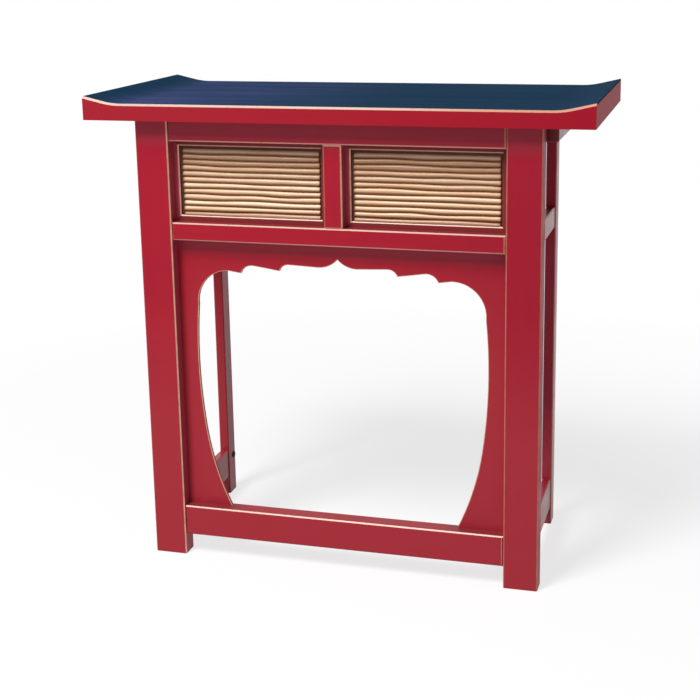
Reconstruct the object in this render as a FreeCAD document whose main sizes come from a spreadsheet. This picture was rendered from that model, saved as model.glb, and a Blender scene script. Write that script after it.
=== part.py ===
"""Folding incense table in red lacquer with gold edges.

A front frame carries two reed panels and a cusped arch board. Two side frames hinge on the rear
faces of the front legs and fold flat behind the front frame. The top, with its upturned ends,
rests on the frame, is located by two dowels and lifts off.

Millimetres, +Z up, the front faces -Y. The origin is on the floor under the middle of the top.
"""
import FreeCAD
import Part
import Sketcher
import math
import os
import re

# Driving dimensions, one sheet cell each
SIZES = {
    # Top board and its upturned ends
    "top_length": 757.5,
    "top_depth": 364,
    "top_thickness": 25,
    "top_edge_chamfer": 3,
    "end_run": 60,
    "end_rise": 10.5,
    "end_curve_radius": 125,
    "end_tongue_length": 12,
    "end_tongue_thickness": 8,
    # Front frame
    "leg_height": 692,
    "frame_width": 611,
    "front_overhang": 20,
    "leg_width": 51.5,
    "leg_depth": 30,
    "leg_chamfer": 1.8,
    "rail_setback": 2.5,
    "rail_chamfer": 1.9,
    "top_rail_height": 32,
    "reed_opening_height": 123,
    "middle_rail_height": 27,
    "stretcher_low": 33,
    "stretcher_height": 48,
    "post_width": 28,
    # Mortise and tenon joints, grooves and their fits
    "tenon_length": 18,
    "tenon_thickness": 9,
    "tenon_shoulder": 6,
    "post_tenon_length": 10,
    "fit_gap": 0.1,
    "end_gap": 0.5,
    # Cusped arch board: drops are measured below the middle rail, insets from the front legs
    "arch_rear_wall": 5,
    "arch_thickness": 5,
    "arch_tongue": 5,
    "peak_drop": 23.4,
    "peak_foot": 29.5,
    "peak_foot_drop": 36.6,
    "peak_radius": 40,
    "inner_cusp_shift": 0,
    "inner_lobe_run": 15,
    "inner_lobe_drop": 34.6,
    "inner_cusp_drop": 44.7,
    "inner_lobe_radius": 15.2,
    "outer_lobe_run": 20.5,
    "outer_lobe_drop": 38.8,
    "outer_cusp_drop": 51,
    "outer_lobe_radius": 19,
    "corner_lead": 19.5,
    "corner_start_inset": 82,
    "corner_start_drop": 48.2,
    "corner_end_inset": 31.2,
    "corner_end_drop": 102,
    "corner_radius": 50,
    "wing_start_inset": 34.5,
    "wing_height": 134,
    "side_radius": 865,
    "wing_tip_inset": 73,
    "wing_radius": 440,
    # Reed panels
    "reed_bar_width": 8.8,
    "reed_bar_depth": 5,
    "reed_bar_recess": 18,
    "reed_bar_chamfer": 1.7,
    "backing_thickness": 2.5,
    "backing_tongue": 4,
    "reed_count": 12,
    "reed_gap": 0.4,
    # Side frames
    "hinge_ledge": 21,
    "side_thickness": 16.5,
    "side_chamfer": 1.5,
    "frame_depth": 280,
    "rear_leg_width": 30,
    "stile_width": 30,
    "fold_gap": 0.4,
    "top_gap": 0.3,
    "side_rail_setback": 1.5,
    "side_rail_chamfer": 1.5,
    "side_top_rail_height": 33,
    "side_middle_rail_drop": 157,
    "side_middle_rail_height": 33,
    "side_bottom_rail_low": 30,
    "side_bottom_rail_height": 50,
    "side_tenon_length": 15,
    "side_tenon_thickness": 5.5,
    # Butt hinges
    "upper_hinge_drop": 117,
    "lower_hinge_low": 155,
    "hinge_height": 50,
    "leaf_width": 13.5,
    "leaf_thickness": 1.5,
    "knuckle_radius": 3,
    "knuckle_gap": 0.2,
    "pin_radius": 1.4,
    "pin_gap": 0.05,
    "pin_head_radius": 2.4,
    "pin_head_height": 1.2,
    "screw_spread": 30,
    "screw_reach": 8.5,
    "screw_length": 12,
    "screw_radius": 1.4,
    "screw_head_radius": 2.8,
    # Low rubber buttons on the rear legs
    "stop_radius": 5.5,
    "stop_height": 1.5,
    "stop_stem_radius": 2.5,
    "stop_stem_length": 8,
    "stop_level": 65,
    "stop_from_rear": 8,
    "stop_round": 0.8,
    # Dowels that locate the top
    "dowel_radius": 5,
    "dowel_wall": 2.25,
    "dowel_in_leg": 20,
    "dowel_in_top": 12,
    "dowel_fit": 0.08,
    # Battens under the top
    "batten_width": 29,
    "batten_height": 27,
    "batten_setback": 45,
    "batten_length": 240,
    "batten_gap": 0.5,
    "batten_chamfer": 2,
    "batten_screw_spread": 90,
    "batten_screw_length": 40,
    "batten_screw_radius": 2,
    "batten_screw_head_radius": 4,
    "batten_screw_head_height": 2,
}

# Places worked out from the driving dimensions
PLACES = {
    "leg_front": "front_overhang - top_depth / 2",
    "leg_rear": "leg_front + leg_depth",
    "leg_outer": "frame_width / 2",
    "leg_inner": "leg_outer - leg_width",
    "leg_centre_line": "leg_front + leg_depth / 2",
    "rail_front": "leg_front + rail_setback",
    "rail_rear": "leg_rear",
    "top_rail_low": "leg_height - top_rail_height",
    "middle_rail_top": "top_rail_low - reed_opening_height",
    "middle_rail_low": "middle_rail_top - middle_rail_height",
    "stretcher_top": "stretcher_low + stretcher_height",
    "tenon_front": "leg_centre_line - tenon_thickness / 2",
    "tenon_rear": "leg_centre_line + tenon_thickness / 2",
    "arch_rear": "rail_rear - arch_rear_wall",
    "arch_front": "arch_rear - arch_thickness",
    "corner_start": "leg_inner - corner_start_inset",
    "outer_cusp": "corner_start - corner_lead",
    "inner_cusp": "(peak_foot + outer_cusp) / 2 + inner_cusp_shift",
    "inner_lobe": "inner_cusp - inner_lobe_run",
    "outer_lobe": "outer_cusp - outer_lobe_run",
    "corner_end": "leg_inner - corner_end_inset",
    "wing_start": "leg_inner - wing_start_inset",
    "wing_tip": "leg_inner - wing_tip_inset",
    "reed_bar_front": "rail_front + reed_bar_recess",
    "backing_front": "reed_bar_front + reed_bar_depth",
    "backing_rear": "backing_front + backing_thickness",
    "post_side": "post_width / 2",
    "window_inner": "post_side + reed_bar_width",
    "window_outer": "leg_inner - reed_bar_width",
    "window_low": "middle_rail_top + reed_bar_width",
    "window_high": "top_rail_low - reed_bar_width",
    "reed_pitch": "(window_high - window_low) / reed_count",
    "reed_radius": "reed_pitch / 2 - reed_gap / 2",
    "side_inner": "leg_inner + hinge_ledge",
    "side_outer": "side_inner + side_thickness",
    "side_middle": "side_inner + side_thickness / 2",
    "side_top": "leg_height - top_gap",
    "stile_front": "leg_rear + fold_gap",
    "stile_rear": "stile_front + stile_width",
    "rear_leg_rear": "leg_front + frame_depth",
    "rear_leg_front": "rear_leg_rear - rear_leg_width",
    "side_tenon_inner": "side_middle - side_tenon_thickness / 2",
    "side_tenon_outer": "side_middle + side_tenon_thickness / 2",
    "side_top_rail_low": "side_top - side_top_rail_height",
    "side_middle_rail_top": "leg_height - side_middle_rail_drop",
    "side_middle_rail_low": "side_middle_rail_top - side_middle_rail_height",
    "side_bottom_rail_top": "side_bottom_rail_low + side_bottom_rail_height",
    "upper_hinge_low": "leg_height - upper_hinge_drop",
    "hinge_across": "side_inner - knuckle_radius",
    "hinge_back": "leg_rear + knuckle_radius",
    "leaf_front_face": "leg_rear + leaf_thickness",
    "leaf_inner_face": "side_inner - leaf_thickness",
    "knuckle_clear": "knuckle_radius + knuckle_gap",
    "pin_bore": "pin_radius + pin_gap",
    "screw_bore": "screw_radius + fit_gap",
    "screw_sink": "screw_head_radius + fit_gap",
    "stop_back": "rear_leg_rear - stop_from_rear",
    "dowel_across": "leg_inner + tenon_length + end_gap + dowel_wall + dowel_radius",
    "dowel_low": "leg_height - dowel_in_leg",
    "end_start": "top_length / 2 - end_run",
    "tongue_low": "leg_height + (top_thickness - end_tongue_thickness) / 2",
    "tongue_high": "tongue_low + end_tongue_thickness",
    "batten_inner": "side_outer + batten_gap",
    "batten_outer": "batten_inner + batten_width",
    "batten_middle": "batten_inner + batten_width / 2",
    "batten_front": "leg_front + batten_setback",
    "batten_rear": "batten_front + batten_length",
    "batten_centre": "batten_front + batten_length / 2",
    "batten_low": "leg_height - batten_height",
}

SIDES = {"left": -1, "right": 1}
HINGES = {"upper": "upper_hinge_low", "lower": "lower_hinge_low"}

doc = FreeCAD.newDocument("FoldingIncenseTable")
nodes = []


def make_sheet():
    """Write the driving dimensions into a sheet with one alias per size."""
    sheet = doc.addObject("Spreadsheet::Sheet", "Sizes")
    for row, (alias, size) in enumerate(SIZES.items(), start=1):
        sheet.set("A%d" % row, alias)
        sheet.set("B%d" % row, str(size))
        sheet.setAlias("B%d" % row, alias)
    doc.recompute()
    return sheet


sizes = make_sheet()


def spell(text):
    """Turn plain words into an expression on the sheet's cells."""

    def spell_word(match):
        word = match.group()
        if word in PLACES:
            return "(" + spell(PLACES[word]) + ")"
        return "Sizes." + word

    return re.sub(r"[a-z][a-z_]+", spell_word, text)


def bind(feature, **properties):
    """Tie each named property to a formula in the sheet's words."""
    for name, text in properties.items():
        feature.setExpression(name, spell(text))


def place(feature, x, y, z):
    """Tie the position of a feature to formulas."""
    for axis, text in zip("xyz", (x, y, z)):
        feature.setExpression("Placement.Base." + axis, spell(text))


def span(ends):
    """Length between two formulas."""
    return "(%s) - (%s)" % (ends[1], ends[0])


def sided(text, side):
    """The formula itself on the right, its mirror image on the left."""
    return text if side > 0 else "-(%s)" % text


def new_node(label):
    """Start a sub-part as a body of its own."""
    body = doc.addObject("PartDesign::Body", label)
    body.Label = label
    body.AllowCompound = True
    nodes.append(body)
    return body


def block(body, kind, x, y, z, side=1):
    """Add or cut a box between pairs of formulas, mirrored in X for the left side."""
    box = body.newObject("PartDesign::%sBox" % kind, "Block")
    bind(box, Length=span(x), Width=span(y), Height=span(z))
    low_x = x[0] if side > 0 else "-(%s)" % x[1]
    place(box, low_x, y[0], z[0])
    return box


def turn(feature, axis, angle):
    """Set the fixed turn of a primitive."""
    feature.Placement.Rotation = FreeCAD.Rotation(FreeCAD.Vector(*axis), angle)


# Turns that lay a round primitive's length along each direction
ALONG = {
    "+Z": ((0, 0, 1), 0),
    "+Y": ((1, 0, 0), -90),
    "-Y": ((1, 0, 0), 90),
    "+X": ((0, 1, 0), 90),
    "-X": ((0, 1, 0), -90),
}


def rod(body, kind, start, direction, radius, length):
    """Add or cut a cylinder from a start point along a direction."""
    cylinder = body.newObject("PartDesign::%sCylinder" % kind, "Rod")
    turn(cylinder, *ALONG[direction])
    bind(cylinder, Radius=radius, Height=length)
    place(cylinder, *start)
    return cylinder


def taper(body, kind, start, direction, radius, end_radius, length):
    """Add or cut a cone from a start point along a direction."""
    cone = body.newObject("PartDesign::%sCone" % kind, "Taper")
    turn(cone, *ALONG[direction])
    bind(cone, Radius1=radius, Radius2=end_radius, Height=length)
    place(cone, *start)
    return cone


def chamfer(body, base, size, wanted):
    """Chamfer the edges of a feature that a test picks out."""
    doc.recompute()
    names = []
    for number, edge in enumerate(base.Shape.Edges, start=1):
        if wanted(edge):
            names.append("Edge%d" % number)
    bevel = body.newObject("PartDesign::Chamfer", "Bevel")
    bevel.Base = (base, names)
    bind(bevel, Size=size)
    return bevel


def along(axis):
    """A test for straight edges that run along an axis."""

    def test(edge):
        return abs(getattr(edge.tangentAt(edge.FirstParameter), axis)) > 0.99

    return test


def across(axis):
    """A test for edges that lie square to an axis."""

    def test(edge):
        return abs(getattr(edge.tangentAt(edge.FirstParameter), axis)) < 0.01

    return test


def origin_plane(body, role):
    """One of a body's own origin planes."""
    return next(plane for plane in body.Origin.OriginFeatures if plane.Role == role)


def new_sketch(body, role):
    """Start a sketch on one of a body's origin planes."""
    sketch = body.newObject("Sketcher::SketchObject", "Outline")
    sketch.AttachmentSupport = (origin_plane(body, role), [""])
    sketch.MapMode = "FlatFace"
    return sketch


def fix_point(sketch, part, vertex, x, y):
    """Tie a sketch vertex to formulas for its distances from the sketch's origin."""
    drawn = sketch.getPoint(part, vertex)
    for kind, text, distance in (("DistanceX", x, drawn.x), ("DistanceY", y, drawn.y)):
        number = sketch.addConstraint(Sketcher.Constraint(kind, -1, 1, part, vertex, distance))
        sketch.setExpression("Constraints[%d]" % number, spell(text))


def fix_radius(sketch, part, text):
    """Tie the radius of a sketch arc to a formula."""
    drawn = sketch.Geometry[part].Radius
    number = sketch.addConstraint(Sketcher.Constraint("Radius", part, drawn))
    sketch.setExpression("Constraints[%d]" % number, spell(text))


# The front frame


def tenon(body, axis_span, cross_y, z, side=1):
    """A tenon between two places along X, with shoulders above and below."""
    low, high = z
    heights = (low + " + tenon_shoulder", high + " - tenon_shoulder")
    return block(body, "Additive", axis_span, cross_y, heights, side)


FRONT_RAILS = {
    "front_top_rail": ("top_rail_low", "leg_height"),
    "front_middle_rail": ("middle_rail_low", "middle_rail_top"),
    "front_bottom_stretcher": ("stretcher_low", "stretcher_top"),
}


def make_front_leg(name, side):
    """A front leg with mortises, panel grooves, a dowel hole and hinge screw holes."""
    body = new_node("front_leg_" + name)
    blank = block(body, "Additive", ("leg_inner", "leg_outer"), ("leg_front", "leg_rear"),
                  ("0", "leg_height"), side)
    chamfer(body, blank, "leg_chamfer", along("z"))
    for low, high in FRONT_RAILS.values():
        block(body, "Subtractive", ("leg_inner", "leg_inner + tenon_length + end_gap"),
              ("tenon_front - fit_gap", "tenon_rear + fit_gap"),
              (low + " + tenon_shoulder - fit_gap", high + " - tenon_shoulder + fit_gap"), side)
    block(body, "Subtractive", ("leg_inner", "leg_inner + arch_tongue + end_gap"),
          ("arch_front - fit_gap", "arch_rear + fit_gap"),
          ("stretcher_top - arch_tongue - end_gap", "middle_rail_low + arch_tongue + end_gap"), side)
    block(body, "Subtractive", ("leg_inner", "leg_inner + backing_tongue + end_gap"),
          ("backing_front - fit_gap", "backing_rear + fit_gap"),
          ("middle_rail_top - backing_tongue - end_gap", "top_rail_low + backing_tongue + end_gap"),
          side)
    rod(body, "Subtractive", (sided("dowel_across", side), "leg_centre_line", "dowel_low - end_gap"),
        "+Z", "dowel_radius + dowel_fit", "dowel_in_leg + end_gap")
    for x, z in leaf_screw_places(side):
        rod(body, "Subtractive", (x, "leg_rear", z), "-Y", "screw_bore", "screw_length")


def leaf_screw_places(side):
    """Across and height of each hinge screw in a front leg."""
    x = sided("(hinge_across - screw_reach)", side)
    places = []
    for low in HINGES.values():
        middle = low + " + hinge_height / 2"
        places.append((x, middle + " - screw_spread / 2"))
        places.append((x, middle + " + screw_spread / 2"))
    return places


def make_front_rail(label, low, high):
    """A front rail with a tenon at each end and its grooves."""
    body = new_node(label)
    blank = block(body, "Additive", ("-leg_inner", "leg_inner"), ("rail_front", "rail_rear"), (low, high))
    chamfer(body, blank, "rail_chamfer", across("y"))
    for side in SIDES.values():
        tenon(body, ("leg_inner", "leg_inner + tenon_length"), ("tenon_front", "tenon_rear"),
              (low, high), side)
    return body


def post_mortise(body, z):
    """The mortise for a tenon of the centre post."""
    block(body, "Subtractive",
          ("-post_side + tenon_shoulder - fit_gap", "post_side - tenon_shoulder + fit_gap"),
          ("tenon_front - fit_gap", "tenon_rear + fit_gap"), z)


def backing_groove(body, z, side):
    """The groove in a rail for the edge of a backing board."""
    block(body, "Subtractive", ("post_side - backing_tongue - end_gap", "leg_inner"),
          ("backing_front - fit_gap", "backing_rear + fit_gap"), z, side)


def make_front_rails():
    """The top rail, the middle rail and the bottom stretcher."""
    rails = {label: make_front_rail(label, low, high) for label, (low, high) in FRONT_RAILS.items()}
    top_rail = rails["front_top_rail"]
    post_mortise(top_rail, ("top_rail_low", "top_rail_low + post_tenon_length + end_gap"))
    middle_rail = rails["front_middle_rail"]
    post_mortise(middle_rail, ("middle_rail_top - post_tenon_length - end_gap", "middle_rail_top"))
    block(middle_rail, "Subtractive", ("-leg_inner", "leg_inner"),
          ("arch_front - fit_gap", "arch_rear + fit_gap"),
          ("middle_rail_low", "middle_rail_low + arch_tongue + end_gap"))
    stretcher = rails["front_bottom_stretcher"]
    for side in SIDES.values():
        backing_groove(top_rail, ("top_rail_low", "top_rail_low + backing_tongue + end_gap"), side)
        backing_groove(middle_rail, ("middle_rail_top - backing_tongue - end_gap", "middle_rail_top"), side)
        block(stretcher, "Subtractive", ("wing_tip - fit_gap", "leg_inner"),
              ("arch_front - fit_gap", "arch_rear + fit_gap"),
              ("stretcher_top - arch_tongue - end_gap", "stretcher_top"), side)


def make_centre_post():
    """The short post between the two reed panels."""
    body = new_node("centre_post")
    blank = block(body, "Additive", ("-post_side", "post_side"), ("rail_front", "rail_rear"),
                  ("middle_rail_top", "top_rail_low"))
    chamfer(body, blank, "rail_chamfer", across("y"))
    block(body, "Additive", ("-post_side + tenon_shoulder", "post_side - tenon_shoulder"),
          ("tenon_front", "tenon_rear"),
          ("middle_rail_top - post_tenon_length", "top_rail_low + post_tenon_length"))
    for side in SIDES.values():
        block(body, "Subtractive", ("post_side - backing_tongue - end_gap", "post_side"),
              ("backing_front - fit_gap", "backing_rear + fit_gap"),
              ("middle_rail_top", "top_rail_low"), side)


# Half of the arch outline from its peak to a wing tip: the place of each vertex, the radius of the
# stretch that leads to it, and which way that stretch bends, 1 round the board, -1 round the arch
ARCH_OUTLINE = [
    ("peak_foot", "middle_rail_low - peak_foot_drop", "peak_radius", 1),
    ("inner_lobe", "middle_rail_low - inner_lobe_drop", None, 0),
    ("inner_cusp", "middle_rail_low - inner_cusp_drop", "inner_lobe_radius", -1),
    ("outer_lobe", "middle_rail_low - outer_lobe_drop", None, 0),
    ("outer_cusp", "middle_rail_low - outer_cusp_drop", "outer_lobe_radius", -1),
    ("corner_start", "middle_rail_low - corner_start_drop", None, 0),
    ("corner_end", "middle_rail_low - corner_end_drop", "corner_radius", -1),
    ("wing_start", "stretcher_top + wing_height", "side_radius", -1),
    ("wing_tip", "stretcher_top", "wing_radius", -1),
]
ARCH_PEAK = ("0", "middle_rail_low - peak_drop")


def locate(across_text, height_text):
    """The present place of a sketch point given by formulas, read from a marker vertex."""
    marker = doc.addObject("Part::Vertex", "Marker")
    bind(marker, X=across_text, Y=height_text)
    doc.recompute()
    point = FreeCAD.Vector(marker.X, marker.Y, 0)
    doc.removeObject(marker.Name)
    return point


def arc_between(start, end, radius):
    """The short arc that turns anticlockwise from one point to another."""
    chord = end - start
    to_centre = math.sqrt(max(radius * radius - chord.Length * chord.Length / 4, 0))
    leftward = FreeCAD.Vector(-chord.y, chord.x, 0).normalize()
    centre = (start + end) / 2 + leftward * to_centre
    circle = Part.Circle(centre, FreeCAD.Vector(0, 0, 1), radius)
    return Part.ArcOfCircle(circle, circle.parameter(start), circle.parameter(end))


def draw_arch(sketch):
    """Draw half of the arch and close it along the floor and the centre line."""
    peak = locate(*ARCH_PEAK)
    here = peak
    stretches = []
    for across_text, height_text, radius, bend in ARCH_OUTLINE:
        there = locate(across_text, height_text)
        if bend == 0:
            curve = Part.LineSegment(here, there)
        elif bend > 0:
            curve = arc_between(here, there, sizes.get(radius))
        else:
            curve = arc_between(there, here, sizes.get(radius))
        part = sketch.addGeometry(curve)
        stretches.append((part, 1, 2) if bend >= 0 else (part, 2, 1))
        here = there
    floor = [FreeCAD.Vector(here.x, 0, 0), FreeCAD.Vector(0, 0, 0)]
    closing = [here] + floor + [peak]
    for start, end in zip(closing, closing[1:]):
        part = sketch.addGeometry(Part.LineSegment(start, end))
        stretches.append((part, 1, 2))
    for before, after in zip(stretches, stretches[1:] + stretches[:1]):
        sketch.addConstraint(Sketcher.Constraint("Coincident", before[0], before[2], after[0], after[1]))
    vertices = [place[:2] for place in ARCH_OUTLINE] + [("wing_tip", "0"), ("0", "0"), ARCH_PEAK]
    for (part, start, end), (across_text, height_text) in zip(stretches, vertices):
        fix_point(sketch, part, end, across_text, height_text)
    for (part, start, end), (across_text, height_text, radius, bend) in zip(stretches, ARCH_OUTLINE):
        if bend:
            fix_radius(sketch, part, radius)


def make_arch_board():
    """The thin board with the cusped arch, its edges let into the frame on all sides."""
    body = new_node("arch_board")
    board = block(body, "Additive", ("-leg_inner - arch_tongue", "leg_inner + arch_tongue"),
                  ("arch_front", "arch_rear"),
                  ("stretcher_top - arch_tongue", "middle_rail_low + arch_tongue"))
    sketch = new_sketch(body, "XZ_Plane")
    draw_arch(sketch)
    cut = body.newObject("PartDesign::Pocket", "ArchHalf")
    cut.Profile = sketch
    cut.Type = "ThroughAll"
    cut.SideType = "Symmetric"
    whole = body.newObject("PartDesign::Mirrored", "Arch")
    whole.Originals = [cut]
    whole.MirrorPlane = (origin_plane(body, "YZ_Plane"), [""])
    body.Tip = whole
    doc.recompute()
    if whole.Shape.Volume > 0.6 * board.Shape.Volume:
        raise RuntimeError("the arch was not cut")


# The four bars of a reed panel's frame: the turn about Y that lays each one, counted from the
# bottom bar, the length between its outer corners, and the outer corner where it starts
REED_BARS = {
    "bottom": (0, "leg_inner - post_side", "low_x", "middle_rail_top"),
    "right": (-90, "top_rail_low - middle_rail_top", "high_x", "middle_rail_top"),
    "top": (180, "leg_inner - post_side", "high_x", "top_rail_low"),
    "left": (90, "top_rail_low - middle_rail_top", "low_x", "top_rail_low"),
}


def reed_bar_name(panel, edge):
    """An upright bar is named for where it stands: the outer one by the leg, the inner one by the post."""
    if edge in SIDES:
        edge = "outer" if edge == panel else "inner"
    return "reed_frame_%s_%s" % (panel, edge)


def make_reed_bar(name, side, edge):
    """A mitred bar with a chamfer along its inner front edge."""
    angle, length, corner_x, corner_z = REED_BARS[edge]
    body = new_node(reed_bar_name(name, edge))
    bar = body.newObject("PartDesign::AdditiveWedge", "Bar")
    bind(bar, Xmin="0", Xmax=length, X2min="reed_bar_width", X2max=length + " - reed_bar_width",
         Ymin="0", Ymax="reed_bar_width", Zmin="0", Zmax="reed_bar_depth", Z2min="0",
         Z2max="reed_bar_depth")
    upright = FreeCAD.Rotation(FreeCAD.Vector(1, 0, 0), 90)
    bar.Placement.Rotation = FreeCAD.Rotation(FreeCAD.Vector(0, 1, 0), angle) * upright
    corners = {"low_x": "post_side", "high_x": "leg_inner"}
    if side < 0:
        corners = {"low_x": "-leg_inner", "high_x": "-post_side"}
    place(bar, corners[corner_x], "backing_front", corner_z)
    doc.recompute()
    front = min(vertex.Y for vertex in bar.Shape.Vertexes)
    inner_length = min(line.Length for line in bar.Shape.Edges if is_long_front_edge(line, front))

    def inner_front(line):
        return is_long_front_edge(line, front) and abs(line.Length - inner_length) < 0.001

    chamfer(body, bar, "reed_bar_chamfer", inner_front)


def is_long_front_edge(edge, front):
    """Whether an edge lies on the front plane and runs along the bar."""
    in_front = all(abs(vertex.Y - front) < 0.001 for vertex in edge.Vertexes)
    tangent = edge.tangentAt(edge.FirstParameter)
    square = max(abs(tangent.x), abs(tangent.z)) > 0.99
    return in_front and square


def make_reed_panel(name, side):
    """A backing board with half-round reeds lying side by side, in a mitred frame."""
    backing = new_node("reed_backing_" + name)
    block(backing, "Additive", ("post_side - backing_tongue", "leg_inner + backing_tongue"),
          ("backing_front", "backing_rear"),
          ("middle_rail_top - backing_tongue", "top_rail_low + backing_tongue"), side)
    for edge in REED_BARS:
        make_reed_bar(name, side, edge)
    body = new_node("reeds_" + name)
    reed = body.newObject("PartDesign::AdditiveCylinder", "Reed")
    reed.Placement.Rotation = FreeCAD.Rotation(
        FreeCAD.Vector(0, 0, 1), FreeCAD.Vector(0, -1, 0), FreeCAD.Vector(1, 0, 0), "ZXY")
    reed.Angle = 180
    start = "window_inner + fit_gap" if side > 0 else "-window_outer + fit_gap"
    bind(reed, Radius="reed_radius", Height="window_outer - window_inner - 2 * fit_gap")
    place(reed, start, "backing_front", "window_low + reed_pitch / 2")
    row = body.newObject("PartDesign::LinearPattern", "Reeds")
    row.Originals = [reed]
    row.Direction = (next(axis for axis in body.Origin.OriginFeatures if axis.Role == "Z_Axis"), [""])
    bind(row, Length="reed_pitch * (reed_count - 1)", Occurrences="reed_count")
    body.Tip = row


def make_dowels():
    """The two dowels in the leg tops that locate the table top."""
    body = new_node("top_locating_dowels")
    for side in SIDES.values():
        rod(body, "Additive", (sided("dowel_across", side), "leg_centre_line", "dowel_low"), "+Z",
            "dowel_radius", "dowel_in_leg + dowel_in_top")


# The hinges


def make_fixed_leaf(name, side, level, low):
    """The leaf on the rear of a front leg, with the two outer knuckles."""
    body = new_node("hinge_%s_%s_leg_leaf" % (level, name))
    heights = (low, low + " + hinge_height")
    block(body, "Additive", ("hinge_across - leaf_width", "hinge_across"),
          ("leg_rear", "leaf_front_face"), heights, side)
    axis = (sided("hinge_across", side), "hinge_back", low)
    rod(body, "Additive", axis, "+Z", "knuckle_radius", "hinge_height")
    block(body, "Subtractive", ("hinge_across - knuckle_clear", "hinge_across + knuckle_clear"),
          ("leg_rear - knuckle_gap", "hinge_back + knuckle_clear"),
          (low + " + hinge_height / 3", low + " + hinge_height * 2 / 3"), side)
    rod(body, "Subtractive", axis, "+Z", "pin_bore", "hinge_height")
    for x, z in leaf_screw_places(side):
        if low in z:
            taper(body, "Subtractive", (x, "leaf_front_face", z), "-Y", "screw_sink", "screw_bore",
                  "leaf_thickness")


def make_moving_leaf(name, side, level, low):
    """The leaf on the inner face of a side frame, with the middle knuckle."""
    body = new_node("hinge_%s_%s_side_leaf" % (level, name))
    heights = (low, low + " + hinge_height")
    block(body, "Additive", ("leaf_inner_face", "side_inner"), ("hinge_back", "hinge_back + leaf_width"),
          heights, side)
    axis = (sided("hinge_across", side), "hinge_back", low)
    rod(body, "Additive", axis, "+Z", "knuckle_radius", "hinge_height")
    outer_knuckles = [
        (low, low + " + hinge_height / 3 + knuckle_gap"),
        (low + " + hinge_height * 2 / 3 - knuckle_gap", low + " + hinge_height"),
    ]
    for z in outer_knuckles:
        block(body, "Subtractive", ("hinge_across - knuckle_clear", "hinge_across + knuckle_clear"),
              ("hinge_back - knuckle_clear", "hinge_back + knuckle_clear"), z, side)
    rod(body, "Subtractive", axis, "+Z", "pin_bore", "hinge_height")
    inward = "+X" if side > 0 else "-X"
    for y, z in stile_screw_places():
        if low in z:
            taper(body, "Subtractive", (sided("leaf_inner_face", side), y, z), inward, "screw_sink",
                  "screw_bore", "leaf_thickness")


def stile_screw_places():
    """Depth and height of each hinge screw in a side stile."""
    places = []
    for low in HINGES.values():
        middle = low + " + hinge_height / 2"
        places.append(("hinge_back + screw_reach", middle + " - screw_spread / 2"))
        places.append(("hinge_back + screw_reach", middle + " + screw_spread / 2"))
    return places


def make_hinge_pin(name, side, level, low):
    """A headed pin through the knuckles."""
    body = new_node("hinge_%s_%s_pin" % (level, name))
    x = sided("hinge_across", side)
    rod(body, "Additive", (x, "hinge_back", low), "+Z", "pin_radius", "hinge_height")
    rod(body, "Additive", (x, "hinge_back", low + " - pin_head_height"), "+Z", "pin_head_radius",
        "pin_head_height")
    rod(body, "Additive", (x, "hinge_back", low + " + hinge_height"), "+Z", "pin_head_radius",
        "pin_head_height")


def make_screw(body, start, direction, head, shank, head_height, length):
    """A countersunk screw whose flat head starts at a point."""
    taper(body, "Additive", start, direction, head, shank, head_height)
    rod(body, "Additive", start, direction, shank, length)


def make_hinges(name, side):
    """The two hinges of a side frame, with their screws."""
    for level, low in HINGES.items():
        make_fixed_leaf(name, side, level, low)
        make_moving_leaf(name, side, level, low)
        make_hinge_pin(name, side, level, low)
    leg_screws = new_node("hinge_leg_screws_" + name)
    for x, z in leaf_screw_places(side):
        make_screw(leg_screws, (x, "leaf_front_face", z), "-Y", "screw_head_radius", "screw_radius",
                   "leaf_thickness", "screw_length")
    side_screws = new_node("hinge_side_screws_" + name)
    inward = "+X" if side > 0 else "-X"
    for y, z in stile_screw_places():
        make_screw(side_screws, (sided("leaf_inner_face", side), y, z), inward, "screw_head_radius",
                   "screw_radius", "leaf_thickness", "screw_length")


# The side frames

SIDE_RAILS = {
    "top_rail": ("side_top_rail_low", "side_top"),
    "middle_rail": ("side_middle_rail_low", "side_middle_rail_top"),
    "bottom_rail": ("side_bottom_rail_low", "side_bottom_rail_top"),
}


def side_mortises(body, y, side):
    """The mortises for the three side rails, in a stile or a rear leg."""
    for low, high in SIDE_RAILS.values():
        block(body, "Subtractive", ("side_tenon_inner - fit_gap", "side_tenon_outer + fit_gap"), y,
              (low + " + tenon_shoulder - fit_gap", high + " - tenon_shoulder + fit_gap"), side)


def make_stile(name, side):
    """The upright of a side frame next to the front leg."""
    body = new_node("side_%s_stile" % name)
    blank = block(body, "Additive", ("side_inner", "side_outer"), ("stile_front", "stile_rear"),
                  ("stretcher_low", "side_top"), side)
    chamfer(body, blank, "side_chamfer", along("z"))
    side_mortises(body, ("stile_rear - side_tenon_length - end_gap", "stile_rear"), side)
    inward = "+X" if side > 0 else "-X"
    for y, z in stile_screw_places():
        rod(body, "Subtractive", (sided("side_inner", side), y, z), inward, "screw_bore", "screw_length")


def make_rear_leg(name, side):
    """The rear leg of a side frame, with the hole of its fold stop."""
    body = new_node("rear_leg_" + name)
    blank = block(body, "Additive", ("side_inner", "side_outer"), ("rear_leg_front", "rear_leg_rear"),
                  ("0", "side_top"), side)
    chamfer(body, blank, "side_chamfer", along("z"))
    side_mortises(body, ("rear_leg_front", "rear_leg_front + side_tenon_length + end_gap"), side)
    inward = "+X" if side > 0 else "-X"
    rod(body, "Subtractive", (sided("side_inner", side), "stop_back", "stop_level"), inward,
        "stop_stem_radius + fit_gap", "stop_stem_length + end_gap")


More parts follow.
